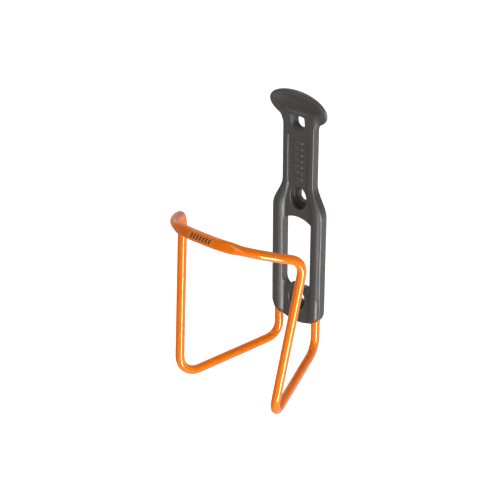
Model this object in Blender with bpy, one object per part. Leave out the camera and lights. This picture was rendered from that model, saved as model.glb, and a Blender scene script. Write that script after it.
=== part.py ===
"""Bicycle bottle cage: one moulded resin bracket and one bent aluminium wire.

Frame: +X is right seen from the bottle side, -Y points at the bottle, +Z is up.
The plane y = 0 is the seat that lies against the frame tube. The origin is on that
plane, on the centre line, 7 mm below the centre of the lower bolt slot.
"""
import math

import bmesh
import bpy
from mathutils import Matrix, Vector

MM = 0.001
COLLECTION = "bottle_cage"
CUTTERS = "cutters"

# Bolts: two M5 slots at the standard spacing of a frame's bottle bosses.
BOLT_Z = 7.0 * MM
BOLT_SPACING = 64.0 * MM
SLOT_RADIUS = 2.75 * MM
SLOT_STRAIGHT = 2.0 * MM
SLOT_FLAT = 0.0003 * MM
COUNTERBORE_HALF = (5.6 * MM, 7.0 * MM)
FLOOR_THICKNESS = 3.0 * MM

# Wire: 5 mm rod, whose ends stand in blind sockets inside the bracket's two rails.
WIRE_RADIUS = 2.5 * MM
WIRE_X = 12.75 * MM
WIRE_Y = -6.0 * MM
WIRE_END_Z = 52.0 * MM
SOCKET_CLEARANCE = 0.3 * MM
SOCKET_EXTRA_DEPTH = 0.5 * MM
REAR_BEND_Z = -22.0 * MM
FOOT = Vector((32.3, -71.7, -25.0)) * MM
SHOULDER = Vector((40.3, -56.2, 69.2)) * MM
BOW_MIDDLE = Vector((0.0, -88.4, 83.0)) * MM
BOW_POWER = 2.83
BOW_START = 0.88
REAR_BEND_RADIUS = 8.0 * MM
FOOT_BEND_RADIUS = 10.7 * MM
SHOULDER_BEND_RADIUS = 9.0 * MM
PAD_HALF_LENGTH = 24.0 * MM
PAD_SWELL = 1.25
PAD_SQUASH = 0.76
WIRE_SIDES = 12
BOW_STEPS = 26

# Bracket outline, seen from the front.
HALF_WIDTH = 16.4 * MM
NECK_HALF_WIDTH = 10.0 * MM
NECK_TOP_Z = 124.0 * MM
SHOULDER_LOW_Z = 62.5 * MM
SHOULDER_HIGH_Z = 81.5 * MM
BOTTOM_ARC_RADIUS = 23.7 * MM
BOTTOM_ARC_Z = 15.6 * MM
CORNER_RADIUS = 2.6 * MM

# Bracket depths, all as places along Y.
FRONT_Y = -8.2 * MM
WEB_FRONT_Y = -7.2 * MM
PANEL_Y = -7.75 * MM
BACK_Y = -2.9 * MM
SEAT_Y = 0.0
RAIL_RADIUS = 3.8 * MM
RAIL_TOP_SCALE = 0.6
RAIL_TOP_INSET = 2.3 * MM
RAIL_X = 12.65 * MM
RAIL_INSET = 0.05 * MM
OVERLAP = 1.0 * MM
CLEAR = 6.0 * MM
MERGE_DISTANCE = 0.01 * MM

# Window between the rails, and the shallow panels above it.
WINDOW_HALF_WIDTH = 9.3 * MM
WINDOW_SILL_Z = 14.2 * MM
WINDOW_CORNER_RADIUS = 3.0 * MM
ARCH_RADIUS = 15.0 * MM
ARCH_TOP_Z = 59.4 * MM
RECESS_HALF_WIDTH = 9.8 * MM
PANEL_HALF_WIDTH = 5.9 * MM
PANEL_GAP = 0.01 * MM
PANEL_CORNER_RADIUS = 1.0 * MM
PANEL_LOW_Z = 80.0 * MM
PANEL_HIGH_Z = 108.0 * MM

# Seat pads around the bolts.
PAD_HALF = (8.3 * MM, 8.6 * MM)
PAD_CORNER_RADIUS = 3.0 * MM
LOWER_PAD_Z = 4.6 * MM
UPPER_PAD_Z = 71.0 * MM

# Hole at the top of the neck: a flat-topped well, with a round hole through its floor.
TOP_HOLE_Z = 116.4 * MM
TOP_HOLE_RADIUS = 4.1 * MM
WELL_RADIUS = 4.7 * MM
WELL_TOP_Z = 121.2 * MM
WELL_CORNER_RADIUS = 1.2 * MM
WELL_FLOOR_Y = -4.4 * MM

# Head: a tilted oval dish that hooks over the bottle's groove.
HEAD_CENTRE = Vector((0.0, -9.0, 125.4)) * MM
HEAD_OUTER = (17.5 * MM, 5.8 * MM, 10.2 * MM)
HEAD_INNER = (17.0 * MM, 5.5 * MM, 6.1 * MM)
HOLLOW_FORWARD = 2.6 * MM
HOLLOW_RISE = 2.7 * MM
HEAD_TILT = math.radians(16.5)

RESIN = (0.075, 0.070, 0.066, 1.0)
ORANGE = (0.85, 0.17, 0.01, 1.0)


def clear_scene():
    for obj in list(bpy.data.objects):
        bpy.data.objects.remove(obj)


def make_collection(name):
    collection = bpy.data.collections.get(name) or bpy.data.collections.new(name)
    if name not in bpy.context.scene.collection.children:
        bpy.context.scene.collection.children.link(collection)
    return collection


def make_material(name, colour, roughness, metallic):
    material = bpy.data.materials.new(name)
    material.use_nodes = True
    shader = material.node_tree.nodes["Principled BSDF"]
    shader.inputs["Base Color"].default_value = colour
    shader.inputs["Roughness"].default_value = roughness
    shader.inputs["Metallic"].default_value = metallic
    return material


def add_object(name, data, collection):
    obj = bpy.data.objects.new(name, data)
    collection.objects.link(obj)
    return obj


def as_guide(obj):
    obj.hide_render = True
    obj.display_type = "WIRE"
    return obj


def arc(cx, cz, radius, start, end, steps):
    """Points of a round stretch in the (x, z) plane; angles in degrees."""
    points = []
    for i in range(steps + 1):
        angle = math.radians(start + (end - start) * i / steps)
        points.append((cx + radius * math.cos(angle), cz + radius * math.sin(angle)))
    return points


def rounded_box(cx, cz, half_x, half_z, radius, steps=5):
    """Rectangle with round corners, anticlockwise."""
    dx = half_x - radius
    dz = half_z - radius
    points = []
    for sx, sz, start in ((1, -1, -90), (1, 1, 0), (-1, 1, 90), (-1, -1, 180)):
        points += arc(cx + sx * dx, cz + sz * dz, radius, start, start + 90, steps)
    return points


def oval(cx, cz, half_x, half_z, steps=28):
    points = []
    for i in range(steps):
        angle = 2 * math.pi * i / steps
        points.append((cx + half_x * math.cos(angle), cz + half_z * math.sin(angle)))
    return points


def mirrored(right):
    """Closes a right half, given bottom to top, with its mirror image."""
    left = [(-x, z) for x, z in reversed(right) if x > 1e-9]
    return right + left


def slab(name, loop, y_front, y_back, collection):
    """Solid with a flat outline in (x, z), from y_front back to y_back, as a mesh."""
    curve = bpy.data.curves.new(name, "CURVE")
    curve.dimensions = "2D"
    curve.fill_mode = "BOTH"
    curve.extrude = (y_back - y_front) / 2
    spline = curve.splines.new("POLY")
    spline.points.add(len(loop) - 1)
    for point, (x, z) in zip(spline.points, loop):
        point.co = (x, z, 0.0, 1.0)
    spline.use_cyclic_u = True
    obj = add_object(name + "_curve", curve, collection)
    obj.rotation_euler = (math.pi / 2, 0.0, 0.0)
    obj.location = (0.0, (y_front + y_back) / 2, 0.0)
    return meshed(obj, name, collection)


def meshed(curve_obj, name, collection):
    """Turns a curve object into a closed mesh object in the same place."""
    bpy.context.view_layer.update()
    graph = bpy.context.evaluated_depsgraph_get()
    mesh = bpy.data.meshes.new_from_object(curve_obj.evaluated_get(graph))
    mesh.transform(curve_obj.matrix_world)
    bm = bmesh.new()
    bm.from_mesh(mesh)
    bmesh.ops.remove_doubles(bm, verts=bm.verts, dist=MERGE_DISTANCE)
    bmesh.ops.recalc_face_normals(bm, faces=bm.faces)
    bm.to_mesh(mesh)
    bm.free()
    bpy.data.objects.remove(curve_obj)
    return add_object(name, mesh, collection)


def boolean(target, tool, operation):
    modifier = target.modifiers.new(tool.name, "BOOLEAN")
    modifier.operation = operation
    modifier.solver = "EXACT"
    modifier.object = tool
    return modifier


def bracket_outline(inset=0.0):
    """Outline of the whole bracket; inset shrinks its bottom and its corners."""
    corner_x = HALF_WIDTH - CORNER_RADIUS
    reach = BOTTOM_ARC_RADIUS - CORNER_RADIUS
    drop = math.sqrt(reach ** 2 - corner_x ** 2)
    turn = math.degrees(math.atan2(-drop, corner_x))
    right = arc(0.0, BOTTOM_ARC_Z, BOTTOM_ARC_RADIUS - inset, -90, turn, 8)
    right += arc(corner_x, BOTTOM_ARC_Z - drop, CORNER_RADIUS - inset, turn, 0, 4)[1:]
    middle = (HALF_WIDTH + NECK_HALF_WIDTH) / 2
    swing = (HALF_WIDTH - NECK_HALF_WIDTH) / 2
    for i in range(9):
        t = i / 8
        z = SHOULDER_LOW_Z + (SHOULDER_HIGH_Z - SHOULDER_LOW_Z) * t
        right.append((middle + swing * math.cos(math.pi * t), z))
    right.append((NECK_HALF_WIDTH, NECK_TOP_Z))
    return mirrored(right)


def window_outline():
    corner_x = WINDOW_HALF_WIDTH - WINDOW_CORNER_RADIUS
    corner_z = WINDOW_SILL_Z + WINDOW_CORNER_RADIUS
    arch_z = ARCH_TOP_Z - ARCH_RADIUS
    lean = math.degrees(math.acos(WINDOW_HALF_WIDTH / ARCH_RADIUS))
    right = arc(corner_x, corner_z, WINDOW_CORNER_RADIUS, -90, 0, 5)
    right += arc(0.0, arch_z, ARCH_RADIUS, lean, 90, 7)
    return mirrored(right)


def recess_outline():
    """Shallow field between the rails, narrowing to the panel above the bolt."""
    low_z = BOTTOM_ARC_Z - BOTTOM_ARC_RADIUS - CLEAR
    right = [(RECESS_HALF_WIDTH, low_z), (RECESS_HALF_WIDTH, SHOULDER_LOW_Z)]
    swing = RECESS_HALF_WIDTH - PANEL_HALF_WIDTH
    for i in range(1, 7):
        t = i / 6
        z = SHOULDER_LOW_Z + (PANEL_LOW_Z - SHOULDER_LOW_Z) * t
        right.append((PANEL_HALF_WIDTH + swing * (1 + math.cos(math.pi * t)) / 2, z))
    return mirrored(right)


def well_outline():
    """Front of the top hole: half a circle below, nearly square above."""
    corner_x = WELL_RADIUS - WELL_CORNER_RADIUS
    corner_z = WELL_TOP_Z - WELL_CORNER_RADIUS
    right = arc(0.0, TOP_HOLE_Z, WELL_RADIUS, -90, 0, 8)
    right += arc(corner_x, corner_z, WELL_CORNER_RADIUS, 0, 90, 3)
    return mirrored(right)


def add_rail(side, outline, cutters):
    """Round rail that runs up the side and fades into the neck's edge."""
    name = "rail_right" if side > 0 else "rail_left"
    curve = bpy.data.curves.new(name, "CURVE")
    curve.dimensions = "3D"
    curve.bevel_depth = RAIL_RADIUS
    curve.bevel_resolution = 4
    curve.use_fill_caps = True
    low_z = BOTTOM_ARC_Z - BOTTOM_ARC_RADIUS - CLEAR
    path = [(RAIL_X, low_z, 1.0), (RAIL_X, SHOULDER_LOW_Z, 1.0)]
    inward = NECK_HALF_WIDTH - RAIL_TOP_INSET
    shrink = 1.0 - RAIL_TOP_SCALE
    for i in range(1, 7):
        t = i / 6
        z = SHOULDER_LOW_Z + (SHOULDER_HIGH_Z - SHOULDER_LOW_Z) * t
        ease = (1 - math.cos(math.pi * t)) / 2
        path.append((RAIL_X + (inward - RAIL_X) * ease, z, 1.0 - shrink * ease))
    spline = curve.splines.new("POLY")
    spline.points.add(len(path) - 1)
    for point, (x, z, scale) in zip(spline.points, path):
        proud = (RAIL_RADIUS + FRONT_Y - WIRE_Y) * (scale - RAIL_TOP_SCALE) / shrink
        y = FRONT_Y + scale * RAIL_RADIUS - proud
        point.co = (side * x, y, z, 1.0)
        point.radius = scale
    rail = as_guide(meshed(add_object(name + "_curve", curve, cutters), name, cutters))
    boolean(rail, outline, "INTERSECT")
    return rail


def add_ellipsoid(name, radii, collection):
    """Ellipsoid about the head's centre, tilted with the head."""
    bm = bmesh.new()
    bmesh.ops.create_uvsphere(bm, u_segments=40, v_segments=20, radius=1.0)
    bmesh.ops.scale(bm, vec=radii, verts=bm.verts)
    mesh = bpy.data.meshes.new(name)
    bm.to_mesh(mesh)
    bm.free()
    obj = as_guide(add_object(name, mesh, collection))
    obj.rotation_euler = (HEAD_TILT, 0.0, 0.0)
    obj.location = HEAD_CENTRE
    return obj


def add_head_shell(cutters):
    """Back half of the outer ellipsoid: the dish before it is hollowed."""
    shell = add_ellipsoid("head_shell", HEAD_OUTER, cutters)
    size = 4 * HEAD_OUTER[0]
    bm = bmesh.new()
    bmesh.ops.create_cube(bm, size=size)
    bmesh.ops.translate(bm, vec=(0.0, -size / 2, 0.0), verts=bm.verts)
    mesh = bpy.data.meshes.new("head_front")
    bm.to_mesh(mesh)
    bm.free()
    front = as_guide(add_object("head_front", mesh, cutters))
    front.rotation_euler = (HEAD_TILT, 0.0, 0.0)
    front.location = HEAD_CENTRE
    boolean(shell, front, "DIFFERENCE")
    return shell


def add_socket(side, cutters):
    """Blind round socket for one end of the wire."""
    low_z = BOTTOM_ARC_Z - BOTTOM_ARC_RADIUS - CLEAR
    top_z = WIRE_END_Z + SOCKET_EXTRA_DEPTH
    bm = bmesh.new()
    bmesh.ops.create_cone(bm, cap_ends=True, segments=24,
                          radius1=WIRE_RADIUS + SOCKET_CLEARANCE,
                          radius2=WIRE_RADIUS + SOCKET_CLEARANCE, depth=top_z - low_z)
    mesh = bpy.data.meshes.new("socket")
    bm.to_mesh(mesh)
    bm.free()
    name = "socket_right" if side > 0 else "socket_left"
    obj = as_guide(add_object(name, mesh, cutters))
    obj.location = (side * WIRE_X, WIRE_Y, (top_z + low_z) / 2)
    return obj


def add_bolt_cuts(name, z, cutters):
    """Counterbore for the bolt's head, and the slot for its shank."""
    floor_y = SEAT_Y - FLOOR_THICKNESS
    head = slab(name + "_head", oval(0.0, z, *COUNTERBORE_HALF), FRONT_Y - CLEAR, floor_y, cutters)
    half_z = SLOT_RADIUS + SLOT_STRAIGHT / 2
    shape = rounded_box(0.0, z, SLOT_RADIUS + SLOT_FLAT, half_z, SLOT_RADIUS, 7)
    shank = slab(name + "_shank", shape, FRONT_Y - CLEAR, SEAT_Y + CLEAR, cutters)
    return [as_guide(head), as_guide(shank)]


def add_bracket(parts, cutters):
    outline = bracket_outline()
    bracket = slab("bracket", outline, FRONT_Y, BACK_Y, parts)
    inner = bracket_outline(RAIL_INSET)
    thick = as_guide(slab("outline", inner, FRONT_Y - CLEAR, BACK_Y - OVERLAP, cutters))

    recess = slab("recess", recess_outline(), FRONT_Y - CLEAR, WEB_FRONT_Y, cutters)
    panel_z = (PANEL_LOW_Z + PANEL_HIGH_Z) / 2
    panel_half = (PANEL_HIGH_Z - PANEL_LOW_Z) / 2
    panel_width = PANEL_HALF_WIDTH - PANEL_GAP
    panel_shape = rounded_box(0.0, panel_z, panel_width, panel_half, PANEL_CORNER_RADIUS, 2)
    panel = slab("panel", panel_shape, FRONT_Y - CLEAR, PANEL_Y, cutters)
    for cutter in (recess, panel):
        boolean(bracket, as_guide(cutter), "DIFFERENCE")

    for name, z in (("seat_lower", LOWER_PAD_Z), ("seat_upper", UPPER_PAD_Z)):
        shape = rounded_box(0.0, z, *PAD_HALF, PAD_CORNER_RADIUS)
        pad = slab(name, shape, BACK_Y - OVERLAP, SEAT_Y, cutters)
        boolean(bracket, as_guide(pad), "UNION")
    for side in (1, -1):
        boolean(bracket, add_rail(side, thick, cutters), "UNION")
    boolean(bracket, add_head_shell(cutters), "UNION")

    dish = add_ellipsoid("head_hollow", HEAD_INNER, cutters)
    shift = Vector((0.0, -HOLLOW_FORWARD, HOLLOW_RISE))
    dish.location = HEAD_CENTRE + Matrix.Rotation(HEAD_TILT, 3, "X") @ shift
    hollows = [dish]
    window = slab("window", window_outline(), FRONT_Y - CLEAR, SEAT_Y + CLEAR, cutters)
    hollows.append(as_guide(window))
    hollows.append(as_guide(slab("well", well_outline(), FRONT_Y - CLEAR, WELL_FLOOR_Y, cutters)))
    shape = oval(0.0, TOP_HOLE_Z, TOP_HOLE_RADIUS, TOP_HOLE_RADIUS)
    hole = slab("top_hole", shape, FRONT_Y - CLEAR, SEAT_Y + CLEAR, cutters)
    hollows.append(as_guide(hole))
    for name, z in (("bolt_lower", BOLT_Z), ("bolt_upper", BOLT_Z + BOLT_SPACING)):
        hollows += add_bolt_cuts(name, z, cutters)
    for side in (1, -1):
        hollows.append(add_socket(side, cutters))
    for hollow in hollows:
        boolean(bracket, hollow, "DIFFERENCE")
    bracket.data.materials.append(make_material("resin", RESIN, 0.45, 0.0))
    return bracket


def bend(before, corner, after, radius, steps=7):
    """Points of a round bend that replaces a sharp corner of the path."""
    back = (before - corner).normalized()
    ahead = (after - corner).normalized()
    half = math.acos(max(-1.0, min(1.0, back.dot(ahead)))) / 2
    centre = corner + (back + ahead).normalized() * radius / math.sin(half)
    start = corner + back * radius / math.tan(half) - centre
    end = corner + ahead * radius / math.tan(half) - centre
    sweep = start.angle(end)
    points = []
    for i in range(steps + 1):
        t = i / steps
        blend = start * math.sin((1 - t) * sweep) + end * math.sin(t * sweep)
        points.append(centre + blend / math.sin(sweep))
    return points


def bow_point(s):
    """Front bow, which rises and swings forward from a shoulder (s = 1) to the other (-1)."""
    reach = 1 - abs(s) ** BOW_POWER
    y = SHOULDER.y + (BOW_MIDDLE.y - SHOULDER.y) * reach
    z = SHOULDER.z + (BOW_MIDDLE.z - SHOULDER.z) * reach
    return Vector((SHOULDER.x * s, y, z))


def wire_path():
    top = Vector((WIRE_X, WIRE_Y, WIRE_END_Z))
    rear = Vector((WIRE_X, WIRE_Y, REAR_BEND_Z))
    entry = bow_point(BOW_START)
    half = [top]
    half += bend(top, rear, FOOT, REAR_BEND_RADIUS)
    half += bend(rear, FOOT, SHOULDER, FOOT_BEND_RADIUS)
    half += bend(FOOT, SHOULDER, entry, SHOULDER_BEND_RADIUS)
    bow = [bow_point(BOW_START * (1 - 2 * i / BOW_STEPS)) for i in range(BOW_STEPS + 1)]
    other = [Vector((-p.x, p.y, p.z)) for p in reversed(half)]
    return half + bow + other


def pad_amount(x, on_bow):
    """0 on round wire, 1 at the middle of the flattened pad of the bow."""
    if not on_bow or abs(x) >= PAD_HALF_LENGTH:
        return 0.0
    return math.sin(math.pi / 2 * (1 - abs(x) / PAD_HALF_LENGTH)) ** 0.5


def wire_frames(path):
    """Two directions across the wire at each point, carried along without twist."""
    tangents = []
    for i in range(len(path)):
        before = path[max(i - 1, 0)]
        after = path[min(i + 1, len(path) - 1)]
        tangents.append((after - before).normalized())
    side = Vector((1.0, 0.0, 0.0))
    frames = []
    for tangent in tangents:
        side = (side - tangent * side.dot(tangent)).normalized()
        frames.append((side, tangent.cross(side)))
    return frames


def add_wire(parts):
    """One rod, round but for the pad pressed flat at the middle of its bow."""
    path = wire_path()
    rise = BOW_MIDDLE.z - SHOULDER.z
    run = SHOULDER.y - BOW_MIDDLE.y
    tall = Vector((0.0, rise, run)).normalized()
    bm = bmesh.new()
    rings = []
    for point, (side, up) in zip(path, wire_frames(path)):
        amount = pad_amount(point.x, point.y < SHOULDER.y)
        ring = []
        for k in range(WIRE_SIDES):
            angle = 2 * math.pi * (k + 0.5) / WIRE_SIDES
            offset = (side * math.cos(angle) + up * math.sin(angle)) * WIRE_RADIUS
            lift = tall * offset.dot(tall)
            flat = offset - lift
            offset = lift * (1 + (PAD_SWELL - 1) * amount) + flat * (1 - (1 - PAD_SQUASH) * amount)
            ring.append(bm.verts.new(point + offset))
        rings.append(ring)
    for ring, following in zip(rings, rings[1:]):
        for k in range(WIRE_SIDES):
            n = (k + 1) % WIRE_SIDES
            bm.faces.new((ring[k], ring[n], following[n], following[k]))
    bm.faces.new(rings[0])
    bm.faces.new(rings[-1])
    bmesh.ops.recalc_face_normals(bm, faces=bm.faces)
    mesh = bpy.data.meshes.new("wire")
    bm.to_mesh(mesh)
    bm.free()
    mesh.shade_smooth()
    wire = add_object("wire", mesh, parts)
    mesh.materials.append(make_material("orange_paint", ORANGE, 0.25, 0.0))
    return wire


def main():
    clear_scene()
    parts = make_collection(COLLECTION)
    cutters = make_collection(CUTTERS)
    add_bracket(parts, cutters)
    add_wire(parts)


main()
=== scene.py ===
import math

import bmesh
import bpy
import numpy as np
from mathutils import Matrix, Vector


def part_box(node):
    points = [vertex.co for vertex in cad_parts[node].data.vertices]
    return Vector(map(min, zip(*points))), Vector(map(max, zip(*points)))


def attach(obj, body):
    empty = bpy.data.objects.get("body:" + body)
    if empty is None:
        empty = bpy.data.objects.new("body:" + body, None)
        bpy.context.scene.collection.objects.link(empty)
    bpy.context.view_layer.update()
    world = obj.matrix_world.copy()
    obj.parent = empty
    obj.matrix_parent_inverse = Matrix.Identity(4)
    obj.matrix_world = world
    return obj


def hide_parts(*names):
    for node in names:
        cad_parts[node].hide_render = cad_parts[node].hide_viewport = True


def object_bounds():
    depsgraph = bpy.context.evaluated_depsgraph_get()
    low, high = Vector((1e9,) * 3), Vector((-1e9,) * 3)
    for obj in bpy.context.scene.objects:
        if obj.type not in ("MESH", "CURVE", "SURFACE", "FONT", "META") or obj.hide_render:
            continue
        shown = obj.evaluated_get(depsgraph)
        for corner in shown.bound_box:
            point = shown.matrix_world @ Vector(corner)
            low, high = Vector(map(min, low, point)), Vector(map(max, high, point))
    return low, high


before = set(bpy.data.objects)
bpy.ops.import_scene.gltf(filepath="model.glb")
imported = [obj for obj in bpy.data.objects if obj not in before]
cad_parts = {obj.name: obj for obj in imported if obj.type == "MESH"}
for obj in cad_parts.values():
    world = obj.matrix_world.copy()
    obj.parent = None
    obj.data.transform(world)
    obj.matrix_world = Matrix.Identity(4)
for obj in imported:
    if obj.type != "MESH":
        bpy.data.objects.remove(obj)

# The cage is drawn in the CAD's own frame: X right, -Y toward the bottle, Z up, with the
# seat that lies against the frame tube in the plane y = 0. Shapes below are in millimetres.
MM = 0.001
CAD_BOX = [list(corner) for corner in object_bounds()]

# Wire: a 5 mm rod bent in two mirror halves, pressed flat at the middle of its bow.
WIRE_RADIUS = 2.5
WIRE_X = 12.75
WIRE_Y = -6.0
WIRE_END_Z = 52.0
REAR_BEND_Z = -22.0
FOOT = (32.3, -71.7, -25.0)
SHOULDER = (40.3, -56.2, 69.2)
BOW_MIDDLE = (0.0, -88.4, 83.0)
BOW_POWER = 2.83
BOW_START = 0.88
BEND_RADII = (8.0, 10.7, 9.0)
BEND_STEPS = 16
BOW_STEPS = 45
SOFTEN_ROUNDS = 3
WIRE_SIDES = 40
WIRE_STEP = 1.1
PAD_FLAT = 15.0
PAD_FADE = 7.0
PAD_THICK = 1.88
PAD_TALL = 3.0
PAD_SQUARENESS = 4.5
BAR_PITCH = 1.9
BAR_WIDTH = 1.05
BAR_ROW_HALF = 6.7
BAR_HALF_HEIGHT = 1.3
BAR_SLANT = 0.25
BAR_SIDE_BLUR = 0.05
BAR_END_BLUR = 0.1
BAR_FACING = (0.3, 0.4)

# Bracket outline and depths.
HALF_WIDTH = 16.5
NECK_HALF_WIDTH = 10.15
NECK_TOP_Z = 123.0
SHOULDER_LOW_Z = 62.5
SHOULDER_HIGH_Z = 81.5
BOTTOM_ARC_RADIUS = 23.7
BOTTOM_ARC_Z = 15.5
CORNER_RADIUS = 2.6
FRONT_Y = -8.2
WEB_FRONT_Y = -7.2
PANEL_Y = -7.65
BACK_Y = -2.9
RAIL_X = 12.65
RAIL_Y = -6.0
RAIL_RADIUS = 3.8
RAIL_DELAY = 1.0
RAIL_NARROWING = 1.5
RAIL_NECK_INSET = 2.3
WINDOW_HALF_WIDTH = 9.3
WINDOW_SILL_Z = 12.0
WINDOW_CORNER_RADIUS = 6.0
ARCH_RADIUS = 15.0
ARCH_TOP_Z = 59.2
RECESS_HALF_WIDTH = 9.8
PANEL_HALF_WIDTH = 6.8
PANEL_LOW_Z = 80.0
PANEL_HIGH_Z = 108.0
BOLT_Z = 7.0
BOLT_SPACING = 64.0
SLOT_RADIUS = 2.65
SLOT_STRAIGHT_HALF = 1.0
COUNTERBORE = (5.4, 7.0)
BOLT_WALL = (5.9, 8.0)
FLOOR_Y = -3.0
RIB_HALF = (2.9, 0.62)
RIB_COUNT = 7
RIB_LOW_Z = 83.2
RIB_PITCH = 3.6
RIB_FRONT_Y = -8.15
SEAT_HALF = (8.3, 8.6)
LOWER_SEAT_Z = 4.6
UPPER_SEAT_Z = 71.0
TOP_HOLE_Z = 116.4
TOP_HOLE_RADIUS = 4.0
WELL_RADIUS = 4.4
WELL_TOP_Z = 121.1
WELL_FLOOR_Y = -4.4
HEAD_CENTRE = (0.0, -9.0, 125.4)
HEAD_OUTER = (18.7, 6.3, 11.2)
HEAD_INNER = (17.0, 5.5, 6.1)
HOLLOW_RISE = 2.7
HOLLOW_FORWARD = 2.6
HEAD_TILT = math.radians(16.5)
SOCKET_CLEARANCE = 0.2
SOCKET_EXTRA_DEPTH = 0.5

# Corner radii seen from the front, then edge radii, then fillets where shapes meet.
NECK_TOP_CORNER = 2.0
PANEL_CORNER = 1.0
RIB_CORNER = 0.5
SEAT_CORNER = 3.0
WELL_CORNER = 1.2
FRONT_EDGE = 0.6
BACK_EDGE = 0.5
RECESS_EDGE = 0.25
RECESS_TOP_EDGE = 0.5
PANEL_EDGE = 0.2
PANEL_FLOOR_EDGE = 0.35
RIB_EDGE = 0.2
RAIL_EDGE = 0.6
RAIL_LOW_EDGE = 2.6
SEAT_EDGE = 0.5
HEAD_BACK_EDGE = 1.3
HOLLOW_EDGE = 0.8
WINDOW_EDGE = 0.3
ARCH_CORNER = 0.6
BOLT_WALL_CORNER = 0.4
WELL_EDGE = 0.3
TOP_HOLE_EDGE = 0.2
COUNTERBORE_EDGE = 0.25
COUNTERBORE_FLOOR_EDGE = 0.4
SLOT_EDGE = 0.15
SOCKET_EDGE = 0.25
RIB_FILLET = 0.15
RAIL_FILLET = 0.8
SEAT_FILLET = 0.6
HEAD_FILLET = 4.0
RIB_SINK = 1.0
SEAT_SINK = 1.5

# Meshing of the bracket's distance field.
GRID_STEP = 0.33
GRID_MARGIN = 2.0
SETTLE_ROUNDS = 4
SLOPE_STEP = 0.01
LEAST_SLOPE = 0.05
DEEP_INSIDE = -99.0
TINY = 1e-6

# Materials: colours in linear light, noise scales per metre, bump distances in metres.
NOISE_MIDDLE = (0.3, 0.7)
PAINT_COLOURS = ((0.66, 0.126, 0.0012), (0.71, 0.140, 0.0016))
PAINT_ROUGHNESS = (0.08, 0.11)
PAINT_TINT = (1.0, 0.80, 0.44, 1.0)
INK = (0.05, 0.02, 0.012, 1.0)
RESIN_COLOURS = ((0.0175, 0.0152, 0.0132), (0.0230, 0.0200, 0.0174))
RESIN_ROUGHNESS = (0.45, 0.55)

# Stage. Lights: name, azimuth, elevation, distance, size, power.
LIGHTS = (
    ("key", 30.0, 22.0, 1.3, (0.7, 0.7), 3.6),
    ("fill", -32.0, 12.0, 1.3, (0.8, 0.8), 1.2),
    ("side", 69.0, -25.0, 0.62, (0.19, 0.38), 6.4),
    ("back", 145.0, -20.0, 0.7, (0.3, 0.3), 0.4),
    ("top", -60.0, 58.0, 1.1, (0.6, 0.6), 3.0),
)
CAMERA_AZIMUTH = 38.0
CAMERA_ELEVATION = 30.51
CAMERA_DISTANCE = 0.86872
CAMERA_LENS = 115.84
CAMERA_AIM_OFFSET = (-10.5, 9.25, -6.13)
FLOOR_HALF = 12.0
FLOOR_DROP = 2.0
FLOOR_GREY = (0.35, 0.35, 0.35)
FLOOR_GLOW = (0.20, 1.0)
BACKDROP_DIRECTION = (-0.49, 0.62, 0.61)
BACKDROP_SPREAD = (0.0, 0.9)
BACKDROP_SHADES = (0.16, 0.9)
BACKDROP_SEEN = 0.8


# ---------------------------------------------------------------- mesh helpers

def to_mesh(name, points, faces):
    mesh = bpy.data.meshes.new(name)
    mesh.from_pydata([tuple(p) for p in np.asarray(points) * MM], [], faces)
    mesh.validate()
    mesh.shade_smooth()
    obj = bpy.data.objects.new(name, mesh)
    bpy.context.scene.collection.objects.link(obj)
    return obj


def face_outward(obj):
    bm = bmesh.new()
    bm.from_mesh(obj.data)
    bmesh.ops.recalc_face_normals(bm, faces=bm.faces)
    bm.to_mesh(obj.data)
    bm.free()


def surface_net(field, low, high, step):
    """Mesh of the surface field = 0: one point in each grid cell that the surface crosses."""
    axes = [np.arange(a, b + step, step) for a, b in zip(low, high)]
    grid = field(axes[0][:, None, None], axes[1][None, :, None], axes[2][None, None, :])
    inside = grid < 0
    shape = [n - 1 for n in grid.shape]
    count = np.zeros(shape, dtype=np.int8)
    corners = [(i, j, k) for i in (0, 1) for j in (0, 1) for k in (0, 1)]
    for i, j, k in corners:
        count += inside[i:i + shape[0], j:j + shape[1], k:k + shape[2]]
    cells = np.argwhere((count > 0) & (count < 8))
    total = np.zeros((len(cells), 3))
    crossings = np.zeros(len(cells))
    for start in corners:
        for axis in range(3):
            if start[axis]:
                continue
            a = cells + np.array(start)
            b = a.copy()
            b[:, axis] += 1
            fa = grid[a[:, 0], a[:, 1], a[:, 2]]
            fb = grid[b[:, 0], b[:, 1], b[:, 2]]
            cut = (fa < 0) != (fb < 0)
            t = np.where(cut, fa / np.where(cut, fa - fb, 1.0), 0.0)
            where = a.astype(float)
            where[:, axis] += t
            total[cut] += where[cut]
            crossings[cut] += 1
    points = total / crossings[:, None] * step + np.array(low)
    number = -np.ones(shape, dtype=np.int64)
    number[tuple(cells.T)] = np.arange(len(cells))
    faces = []
    for axis in range(3):
        u, v = [n for n in range(3) if n != axis]
        lower = [slice(None)] * 3
        upper = [slice(None)] * 3
        lower[axis] = slice(0, -1)
        upper[axis] = slice(1, None)
        first = inside[tuple(lower)]
        edges = np.argwhere(first != inside[tuple(upper)])
        edges = edges[(edges[:, u] > 0) & (edges[:, v] > 0)]
        edges = edges[(edges[:, u] < shape[u]) & (edges[:, v] < shape[v])]
        quad = []
        for du, dv in ((-1, -1), (0, -1), (0, 0), (-1, 0)):
            cell = edges.copy()
            cell[:, u] += du
            cell[:, v] += dv
            quad.append(number[tuple(cell.T)])
        quad = np.stack(quad, axis=1)
        flip = first[tuple(edges.T)] == (axis == 1)
        quad[flip] = quad[flip][:, ::-1]
        faces.append(quad)
    return points, np.concatenate(faces)


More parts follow.
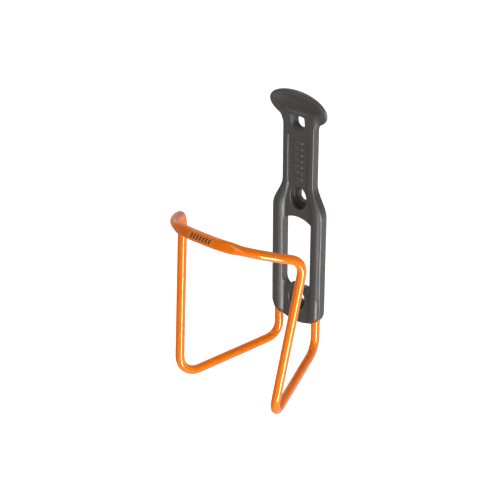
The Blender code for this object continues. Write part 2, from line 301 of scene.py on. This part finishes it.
def settle(field, points, limit):
    """Moves the points onto field = 0 along its slope."""
    h = SLOPE_STEP
    for _ in range(SETTLE_ROUNDS):
        x, y, z = points.T
        value = field(x, y, z)
        slope = np.stack([field(x + h, y, z) - value,
                          field(x, y + h, z) - value,
                          field(x, y, z + h) - value], axis=1) / h
        size = np.maximum((slope ** 2).sum(axis=1), LEAST_SLOPE)
        move = -slope * (value / size)[:, None]
        points = points + np.clip(move, -limit, limit)
    return points


# ---------------------------------------------------------------- solid shapes as distance fields

def union(a, b, radius=0.0):
    """Both shapes, with a fillet of that radius where they meet."""
    if radius == 0.0:
        return np.minimum(a, b)
    u = np.maximum(radius - a, 0)
    v = np.maximum(radius - b, 0)
    return np.maximum(radius, np.minimum(a, b)) - np.sqrt(u * u + v * v)


def common(a, b, radius=0.0):
    """What both shapes share, with a round edge of that radius."""
    if np.all(radius == 0.0):
        return np.maximum(a, b)
    u = np.maximum(radius + a, 0)
    v = np.maximum(radius + b, 0)
    return np.minimum(-radius, np.maximum(a, b)) + np.sqrt(u * u + v * v)


def without(a, b, radius=0.0):
    """The first shape with the second cut out of it."""
    return common(a, -b, radius)


def ease(t):
    """Smooth rise from 0 to 1 while t runs from 0 to 1."""
    t = np.clip(t, 0, 1)
    return (1 - np.cos(np.pi * t)) / 2


def rounded_rectangle(x, z, cx, cz, half_x, half_z, radius):
    dx = np.abs(x - cx) - half_x + radius
    dz = np.abs(z - cz) - half_z + radius
    outside = np.sqrt(np.maximum(dx, 0) ** 2 + np.maximum(dz, 0) ** 2)
    return outside + np.minimum(np.maximum(dx, dz), 0) - radius


def oval(x, z, cz, half_x, half_z):
    k0 = np.sqrt((x / half_x) ** 2 + ((z - cz) / half_z) ** 2)
    k1 = np.sqrt((x / half_x ** 2) ** 2 + ((z - cz) / half_z ** 2) ** 2)
    return k0 * (k0 - 1) / np.maximum(k1, TINY)


def between(y, front, back):
    return np.maximum(front - y, y - back)


def outline(x, z):
    """Bracket seen from the front: broad body, shoulders, neck and a round bottom."""
    slope = math.pi / 2 * (HALF_WIDTH - NECK_HALF_WIDTH) / (SHOULDER_HIGH_Z - SHOULDER_LOW_Z)
    t = (z - SHOULDER_LOW_Z) / (SHOULDER_HIGH_Z - SHOULDER_LOW_Z)
    width = HALF_WIDTH + (NECK_HALF_WIDTH - HALF_WIDTH) * ease(t)
    steep = slope * np.sin(np.pi * np.clip(t, 0, 1))
    sides = (np.abs(x) - width) / np.sqrt(1 + steep ** 2)
    bottom = np.sqrt(x * x + np.minimum(z - BOTTOM_ARC_Z, 0) ** 2) - BOTTOM_ARC_RADIUS
    bottom = np.where(z > BOTTOM_ARC_Z, DEEP_INSIDE, bottom)
    return common(common(sides, bottom, CORNER_RADIUS), z - NECK_TOP_Z, NECK_TOP_CORNER)


def rails(x, y, z):
    """Two round rails that hold the wire, sinking into the edges of the neck."""
    t = ease((z - SHOULDER_LOW_Z - RAIL_DELAY) / (SHOULDER_HIGH_Z - SHOULDER_LOW_Z))
    radius = RAIL_RADIUS - RAIL_NARROWING * t
    centre_x = RAIL_X + (NECK_HALF_WIDTH - RAIL_NECK_INSET - RAIL_X) * t
    front = RAIL_Y - RAIL_RADIUS + (FRONT_Y - RAIL_Y + RAIL_RADIUS) * t
    return np.sqrt((np.abs(x) - centre_x) ** 2 + (y - front - radius) ** 2) - radius


def window(x, z):
    """Opening between the rails: arched above, and clear of the lower bolt's wall."""
    sides = np.abs(x) - WINDOW_HALF_WIDTH
    arch = np.sqrt(x * x + (z - ARCH_TOP_Z + ARCH_RADIUS) ** 2) - ARCH_RADIUS
    arch = np.where(z < ARCH_TOP_Z - ARCH_RADIUS, DEEP_INSIDE, arch)
    low = common(sides, WINDOW_SILL_Z - z, WINDOW_CORNER_RADIUS)
    low = without(low, oval(x, z, BOLT_Z, *BOLT_WALL), BOLT_WALL_CORNER)
    return common(low, arch, ARCH_CORNER)


def recess(x, y, z):
    """Shallow field between the rails, up to the step below the neck's panel."""
    t = (z - SHOULDER_LOW_Z) / (PANEL_LOW_Z - SHOULDER_LOW_Z)
    width = RECESS_HALF_WIDTH + (PANEL_HALF_WIDTH - RECESS_HALF_WIDTH) * ease(t)
    field = common(np.abs(x) - width, z - PANEL_LOW_Z, RECESS_TOP_EDGE)
    return np.maximum(field, y - WEB_FRONT_Y)


def panel(x, y, z):
    """Shallow flat-floored field on the neck, which the ribs stand in."""
    middle = (PANEL_LOW_Z + PANEL_HIGH_Z) / 2
    half = (PANEL_HIGH_Z - PANEL_LOW_Z) / 2
    flat = rounded_rectangle(x, z, 0.0, middle, PANEL_HALF_WIDTH, half, PANEL_CORNER)
    return common(flat, y - PANEL_Y, PANEL_FLOOR_EDGE)


def ellipsoid(x, y, z, radii, lift=0.0, forward=0.0):
    """Ellipsoid near the head's centre, tilted with the head; also its depth coordinate."""
    c, s = math.cos(HEAD_TILT), math.sin(HEAD_TILT)
    dy = y - HEAD_CENTRE[1]
    dz = z - HEAD_CENTRE[2]
    depth = c * dy + s * dz + forward
    rise = c * dz - s * dy - lift
    a, b, h = radii
    k0 = np.sqrt((x / a) ** 2 + (depth / b) ** 2 + (rise / h) ** 2)
    k1 = np.sqrt((x / a ** 2) ** 2 + (depth / b ** 2) ** 2 + (rise / h ** 2) ** 2)
    return k0 * (k0 - 1) / np.maximum(k1, TINY), depth


def top_hole(x, y, z):
    """Flat-topped well below the head, with a round hole through its floor."""
    half = (WELL_TOP_Z - TOP_HOLE_Z) / 2
    square = rounded_rectangle(x, z, 0.0, WELL_TOP_Z - half, WELL_RADIUS, half, WELL_CORNER)
    well = union(square, oval(x, z, TOP_HOLE_Z, WELL_RADIUS, WELL_RADIUS))
    well = common(well, y - WELL_FLOOR_Y, WELL_EDGE)
    hole = oval(x, z, TOP_HOLE_Z, TOP_HOLE_RADIUS, TOP_HOLE_RADIUS)
    return union(well, hole, TOP_HOLE_EDGE)


def bracket_field(x, y, z):
    """The whole moulding. What is added comes before the openings that cut through it."""
    flat = outline(x, z)
    body = common(flat, FRONT_Y - y, FRONT_EDGE)
    body = common(body, y - BACK_Y, BACK_EDGE)
    body = without(body, recess(x, y, z), RECESS_EDGE)
    body = without(body, panel(x, y, z), PANEL_EDGE)
    for step in range(RIB_COUNT):
        rib = rounded_rectangle(x, z, 0.0, RIB_LOW_Z + step * RIB_PITCH, *RIB_HALF, RIB_CORNER)
        rib = common(rib, between(y, RIB_FRONT_Y, BACK_Y - RIB_SINK), RIB_EDGE)
        body = union(body, rib, RIB_FILLET)
    edge = np.where(z < WINDOW_SILL_Z, RAIL_LOW_EDGE, RAIL_EDGE)
    rail = common(rails(x, y, z), flat, edge)
    rail = common(rail, y - BACK_Y, BACK_EDGE)
    body = union(body, rail, RAIL_FILLET)
    for seat_z in (LOWER_SEAT_Z, UPPER_SEAT_Z):
        seat = rounded_rectangle(x, z, 0.0, seat_z, *SEAT_HALF, SEAT_CORNER)
        seat = common(seat, between(y, BACK_Y - SEAT_SINK, 0.0), SEAT_EDGE)
        body = union(body, seat, SEAT_FILLET)
    shell, depth = ellipsoid(x, y, z, HEAD_OUTER)
    body = union(body, common(shell, -depth, HEAD_BACK_EDGE), HEAD_FILLET)
    hollow = ellipsoid(x, y, z, HEAD_INNER, HOLLOW_RISE, HOLLOW_FORWARD)[0]
    body = without(body, hollow, HOLLOW_EDGE)
    body = without(body, window(x, z), WINDOW_EDGE)
    body = without(body, top_hole(x, y, z), WELL_EDGE)
    for bolt_z in (BOLT_Z, BOLT_Z + BOLT_SPACING):
        head = oval(x, z, bolt_z, *COUNTERBORE)
        head = common(head, y - FLOOR_Y, COUNTERBORE_FLOOR_EDGE)
        body = without(body, head, COUNTERBORE_EDGE)
        half = SLOT_RADIUS + SLOT_STRAIGHT_HALF
        shank = rounded_rectangle(x, z, 0.0, bolt_z, SLOT_RADIUS, half, SLOT_RADIUS)
        body = without(body, shank, SLOT_EDGE)
    socket = np.sqrt((np.abs(x) - WIRE_X) ** 2 + (y - WIRE_Y) ** 2)
    socket = socket - WIRE_RADIUS - SOCKET_CLEARANCE
    socket = np.maximum(socket, z - WIRE_END_Z - SOCKET_EXTRA_DEPTH)
    return without(body, socket, SOCKET_EDGE)


def make_bracket():
    low, high = (np.array(corner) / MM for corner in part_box("bracket"))
    low, high = low - GRID_MARGIN, high + GRID_MARGIN
    points, faces = surface_net(bracket_field, low, high, GRID_STEP)
    points = settle(bracket_field, points, GRID_STEP)
    bracket = to_mesh("bracket_moulding", points, faces.tolist())
    face_outward(bracket)
    return bracket


# ---------------------------------------------------------------- wire

def bend(before, corner, after, radius):
    """Points round an arc that replaces a corner of the wire's path."""
    back = (before - corner).normalized()
    ahead = (after - corner).normalized()
    half = back.angle(ahead) / 2
    centre = corner + (back + ahead).normalized() * radius / math.sin(half)
    start = corner + back * radius / math.tan(half) - centre
    end = corner + ahead * radius / math.tan(half) - centre
    sweep = start.angle(end)
    points = []
    for i in range(BEND_STEPS + 1):
        t = i / BEND_STEPS
        blend = start * math.sin((1 - t) * sweep) + end * math.sin(t * sweep)
        points.append(centre + blend / math.sin(sweep))
    return points


def bow_point(s):
    """Front bow from the left shoulder (s = -1) to the right one (s = 1)."""
    reach = 1 - abs(s) ** BOW_POWER
    y = SHOULDER[1] + (BOW_MIDDLE[1] - SHOULDER[1]) * reach
    z = SHOULDER[2] + (BOW_MIDDLE[2] - SHOULDER[2]) * reach
    return Vector((SHOULDER[0] * s, y, z))


def resample(points, step):
    """Evenly spaced points along a path, softened where two stretches meet."""
    points = np.array([tuple(p) for p in points])
    length = np.r_[0, np.cumsum(np.linalg.norm(np.diff(points, axis=0), axis=1))]
    count = int(length[-1] / step)
    even = np.linspace(0, length[-1], count + 1)
    path = np.stack([np.interp(even, length, points[:, k]) for k in range(3)], axis=1)
    for _ in range(SOFTEN_ROUNDS):
        path[1:-1] = (path[:-2] + 2 * path[1:-1] + path[2:]) / 4
    return path


def wire_path():
    """Axis of the wire from the right socket, round the bow, to the left socket."""
    top = Vector((WIRE_X, WIRE_Y, WIRE_END_Z))
    rear = Vector((WIRE_X, WIRE_Y, REAR_BEND_Z))
    foot = Vector(FOOT)
    shoulder = Vector(SHOULDER)
    half = [top]
    half += bend(top, rear, foot, BEND_RADII[0])
    half += bend(rear, foot, shoulder, BEND_RADII[1])
    half += bend(foot, shoulder, bow_point(BOW_START), BEND_RADII[2])
    bow = [bow_point(BOW_START * (1 - i / BOW_STEPS)) for i in range(2 * BOW_STEPS + 1)]
    other = [Vector((-p.x, p.y, p.z)) for p in reversed(half)]
    return resample(half + bow + other, WIRE_STEP)


def pad_directions():
    """Across the pad's height, and out of its face."""
    rise = BOW_MIDDLE[2] - SHOULDER[2]
    run = SHOULDER[1] - BOW_MIDDLE[1]
    tall = np.array((0.0, rise, run)) / math.hypot(rise, run)
    return tall, np.array((0.0, -tall[2], tall[1]))


def pad_amount(point):
    """1 on the flat of the bow, 0 where the wire is round."""
    if point[1] > SHOULDER[1]:
        return 0.0
    t = (PAD_FLAT + PAD_FADE - abs(point[0])) / PAD_FADE
    return float(ease(t))


def section(angle, amount):
    """Distance from the wire's axis at an angle from the pad's face direction."""
    thick = WIRE_RADIUS + (PAD_THICK - WIRE_RADIUS) * amount
    tall = WIRE_RADIUS + (PAD_TALL - WIRE_RADIUS) * amount
    power = 2 + (PAD_SQUARENESS - 2) * amount
    c = abs(math.cos(angle)) / thick
    s = abs(math.sin(angle)) / tall
    return (c ** power + s ** power) ** (-1 / power)


def make_wire():
    """Rings of points along the path, turned so that the flat faces forward."""
    path = wire_path()
    tangents = np.gradient(path, axis=0)
    tangents /= np.linalg.norm(tangents, axis=1)[:, None]
    tall = pad_directions()[0]
    side = np.array((1.0, 0.0, 0.0))
    frames = []
    for tangent in tangents:
        side = side - tangent * side.dot(tangent)
        side /= np.linalg.norm(side)
        frames.append((side, np.cross(tangent, side)))
    points = []
    for point, tangent, (across, up) in zip(path, tangents, frames):
        amount = pad_amount(point)
        lean = math.atan2(tall.dot(up), tall.dot(across)) - math.pi / 2 if amount else 0.0
        for k in range(WIRE_SIDES):
            angle = 2 * math.pi * k / WIRE_SIDES
            reach = section(angle - lean, amount)
            points.append(point + (across * math.cos(angle) + up * math.sin(angle)) * reach)
    faces = []
    rings = len(path)
    for i in range(rings - 1):
        for k in range(WIRE_SIDES):
            n = (k + 1) % WIRE_SIDES
            a, b = i * WIRE_SIDES, (i + 1) * WIRE_SIDES
            faces.append((a + k, a + n, b + n, b + k))
    faces.append(tuple(range(WIRE_SIDES))[::-1])
    last = (rings - 1) * WIRE_SIDES
    faces.append(tuple(range(last, last + WIRE_SIDES)))
    wire = to_mesh("wire_rod", points, faces)
    face_outward(wire)
    return wire


# ---------------------------------------------------------------- materials

def principled(name, colour, roughness):
    material = bpy.data.materials.new(name)
    material.use_nodes = True
    shader = material.node_tree.nodes["Principled BSDF"]
    shader.inputs["Base Color"].default_value = (*colour, 1.0)
    shader.inputs["Roughness"].default_value = roughness
    return material, material.node_tree, shader


def noise(tree, place, scale, detail):
    node = tree.nodes.new("ShaderNodeTexNoise")
    node.inputs["Scale"].default_value = scale
    node.inputs["Detail"].default_value = detail
    tree.links.new(place, node.inputs["Vector"])
    return node.outputs["Fac"]


def remap(tree, value, given, wanted):
    node = tree.nodes.new("ShaderNodeMapRange")
    node.inputs["From Min"].default_value, node.inputs["From Max"].default_value = given
    node.inputs["To Min"].default_value, node.inputs["To Max"].default_value = wanted
    tree.links.new(value, node.inputs["Value"])
    return node.outputs["Result"]


def bump(tree, height, strength, distance):
    node = tree.nodes.new("ShaderNodeBump")
    node.inputs["Strength"].default_value = strength
    node.inputs["Distance"].default_value = distance
    tree.links.new(height, node.inputs["Height"])
    return node.outputs["Normal"]


def colour_mix(tree, factor, first, second):
    node = tree.nodes.new("ShaderNodeMix")
    node.data_type = "RGBA"
    node.inputs["A"].default_value = (*first, 1.0)
    node.inputs["B"].default_value = (*second, 1.0)
    tree.links.new(factor, node.inputs["Factor"])
    return node.outputs["Result"]


def object_coordinates(tree):
    return tree.nodes.new("ShaderNodeTexCoord").outputs["Object"]


def arithmetic(tree, operation, first, second=0.0):
    """Math node. Each operand is a number or another node's output."""
    node = tree.nodes.new("ShaderNodeMath")
    node.operation = operation
    for socket, value in zip(node.inputs, (first, second)):
        if isinstance(value, (int, float)):
            socket.default_value = value
        else:
            tree.links.new(value, socket)
    return node.outputs["Value"]


def printed_bars(tree, place):
    """Mask of a short row of plain bars printed on the flat of the bow."""
    tall, face = pad_directions()
    split = tree.nodes.new("ShaderNodeSeparateXYZ")
    tree.links.new(place, split.inputs[0])
    x, y, z = split.outputs
    up = arithmetic(tree, "ADD", arithmetic(tree, "MULTIPLY", y, float(tall[1])),
                    arithmetic(tree, "MULTIPLY", z, float(tall[2])))
    centre = (BOW_MIDDLE[1] * tall[1] + BOW_MIDDLE[2] * tall[2]) * MM
    rise = arithmetic(tree, "SUBTRACT", up, float(centre))
    slanted = arithmetic(tree, "ADD", x, arithmetic(tree, "MULTIPLY", rise, -BAR_SLANT))
    wave = arithmetic(tree, "PINGPONG", slanted, BAR_PITCH / 2 * MM)
    half = BAR_WIDTH / 2 * MM
    blur = BAR_SIDE_BLUR * MM
    bars = remap(tree, wave, (half - blur, half + blur), (1.0, 0.0))
    length = remap(tree, arithmetic(tree, "ABSOLUTE", slanted),
                   (BAR_ROW_HALF * MM, (BAR_ROW_HALF + BAR_END_BLUR) * MM), (1.0, 0.0))
    height = remap(tree, arithmetic(tree, "ABSOLUTE", rise),
                   (BAR_HALF_HEIGHT * MM, (BAR_HALF_HEIGHT + BAR_END_BLUR) * MM), (1.0, 0.0))
    normal = tree.nodes.new("ShaderNodeTexCoord").outputs["Normal"]
    facing = tree.nodes.new("ShaderNodeVectorMath")
    facing.operation = "DOT_PRODUCT"
    facing.inputs[1].default_value = [float(v) for v in face]
    tree.links.new(normal, facing.inputs[0])
    front = remap(tree, facing.outputs["Value"], BAR_FACING, (0.0, 1.0))
    mask = arithmetic(tree, "MULTIPLY", bars, length)
    mask = arithmetic(tree, "MULTIPLY", mask, height)
    return arithmetic(tree, "MULTIPLY", mask, front)


def orange_paint():
    """Gloss powder coat: a faint orange peel under a clear, even gloss."""
    material, tree, shader = principled("orange_paint", colour=(0.68, 0.133, 0.0014),
                                        roughness=0.1)
    place = object_coordinates(tree)
    cloud = noise(tree, place, scale=60.0, detail=3.0)
    tint = remap(tree, cloud, NOISE_MIDDLE, (0.0, 1.0))
    colour = colour_mix(tree, tint, *PAINT_COLOURS)
    ink = tree.nodes.new("ShaderNodeMix")
    ink.data_type = "RGBA"
    ink.inputs["B"].default_value = INK
    tree.links.new(printed_bars(tree, place), ink.inputs["Factor"])
    tree.links.new(colour, ink.inputs["A"])
    tree.links.new(ink.outputs["Result"], shader.inputs["Base Color"])
    cloud = noise(tree, place, scale=400.0, detail=2.0)
    rough = remap(tree, cloud, NOISE_MIDDLE, PAINT_ROUGHNESS)
    tree.links.new(rough, shader.inputs["Roughness"])
    peel = noise(tree, place, scale=900.0, detail=2.0)
    peel = bump(tree, peel, strength=0.04, distance=0.0003)
    tree.links.new(peel, shader.inputs["Normal"])
    shader.inputs["Specular IOR Level"].default_value = 0.7
    shader.inputs["Specular Tint"].default_value = PAINT_TINT
    shader.inputs["Coat Weight"].default_value = 0.05
    shader.inputs["Coat Roughness"].default_value = 0.1
    return material


def resin():
    """Dark satin moulding with a fine, even grain."""
    material, tree, shader = principled("resin", colour=(0.034, 0.031, 0.028),
                                        roughness=0.45)
    place = object_coordinates(tree)
    cloud = noise(tree, place, scale=90.0, detail=4.0)
    tint = remap(tree, cloud, NOISE_MIDDLE, (0.0, 1.0))
    colour = colour_mix(tree, tint, *RESIN_COLOURS)
    tree.links.new(colour, shader.inputs["Base Color"])
    cloud = noise(tree, place, scale=700.0, detail=3.0)
    rough = remap(tree, cloud, NOISE_MIDDLE, RESIN_ROUGHNESS)
    tree.links.new(rough, shader.inputs["Roughness"])
    grain = noise(tree, place, scale=2600.0, detail=2.0)
    grain = bump(tree, grain, strength=0.25, distance=0.0002)
    tree.links.new(grain, shader.inputs["Normal"])
    shader.inputs["Specular IOR Level"].default_value = 1.0
    return material


# ---------------------------------------------------------------- stage

def link(obj):
    bpy.context.scene.collection.objects.link(obj)


def direction(azimuth, elevation):
    """Unit vector toward a compass place round the cage, as the views are named."""
    a, e = math.radians(azimuth), math.radians(elevation)
    return Vector((math.sin(a) * math.cos(e), -math.cos(a) * math.cos(e), math.sin(e)))


def place_looking_back(obj, target, back, distance):
    obj.location = target + back * distance
    obj.rotation_mode = "QUATERNION"
    obj.rotation_quaternion = (-back).to_track_quat("-Z", "Y")
    link(obj)


def make_floor():
    """Wide pale floor, well below the cage, which is shown held up as on a frame."""
    low, high = (Vector(corner) for corner in CAD_BOX)
    drop = FLOOR_DROP * (high.z - low.z)
    h = FLOOR_HALF
    mesh = bpy.data.meshes.new("floor")
    mesh.from_pydata([(-h, -h, 0), (h, -h, 0), (h, h, 0), (-h, h, 0)], [], [(0, 1, 2, 3)])
    floor = bpy.data.objects.new("floor", mesh)
    floor.location = ((low.x + high.x) / 2, (low.y + high.y) / 2, low.z - drop)
    link(floor)
    material, tree, shader = principled("pale_floor", colour=FLOOR_GREY, roughness=0.9)
    shader.inputs["Emission Color"].default_value = (1.0, 1.0, 1.0, 1.0)
    seen = tree.nodes.new("ShaderNodeLightPath").outputs["Is Camera Ray"]
    strength = remap(tree, seen, (0.0, 1.0), FLOOR_GLOW)
    tree.links.new(strength, shader.inputs["Emission Strength"])
    mesh.materials.append(material)


def make_world():
    """Dim room with a pale backdrop, high behind the cage."""
    world = bpy.data.worlds.new("studio")
    world.use_nodes = True
    tree = world.node_tree
    place = tree.nodes.new("ShaderNodeTexCoord").outputs["Generated"]
    facing = tree.nodes.new("ShaderNodeVectorMath")
    facing.operation = "DOT_PRODUCT"
    facing.inputs[1].default_value = BACKDROP_DIRECTION
    tree.links.new(place, facing.inputs[0])
    shade = remap(tree, facing.outputs["Value"], BACKDROP_SPREAD, BACKDROP_SHADES)
    pick = tree.nodes.new("ShaderNodeMix")
    seen = tree.nodes.new("ShaderNodeLightPath").outputs["Is Camera Ray"]
    tree.links.new(seen, pick.inputs["Factor"])
    tree.links.new(shade, pick.inputs["A"])
    pick.inputs["B"].default_value = BACKDROP_SEEN
    tree.links.new(pick.outputs["Result"], tree.nodes["Background"].inputs["Color"])
    bpy.context.scene.world = world


def cad_middle():
    low, high = (Vector(corner) for corner in CAD_BOX)
    return (low + high) / 2


def make_lights():
    make_world()
    for name, azimuth, elevation, distance, size, power in LIGHTS:
        data = bpy.data.lights.new(name, "AREA")
        data.shape = "RECTANGLE"
        data.size, data.size_y = size
        data.energy = power
        light = bpy.data.objects.new(name, data)
        place_looking_back(light, cad_middle(), direction(azimuth, elevation), distance)


def make_camera():
    data = bpy.data.cameras.new("camera")
    data.lens = CAMERA_LENS
    camera = bpy.data.objects.new("camera", data)
    aim = cad_middle() + Vector(CAMERA_AIM_OFFSET) * MM
    place_looking_back(camera, aim, direction(CAMERA_AZIMUTH, CAMERA_ELEVATION), CAMERA_DISTANCE)
    bpy.context.scene.camera = camera


def main():
    make_camera()
    bracket = make_bracket()
    bracket.data.materials.append(resin())
    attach(bracket, "root")
    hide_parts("bracket")
    wire = make_wire()
    wire.data.materials.append(orange_paint())
    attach(wire, "root")
    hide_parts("wire")
    make_floor()
    make_lights()
    bpy.context.scene.view_settings.view_transform = "Standard"


main()
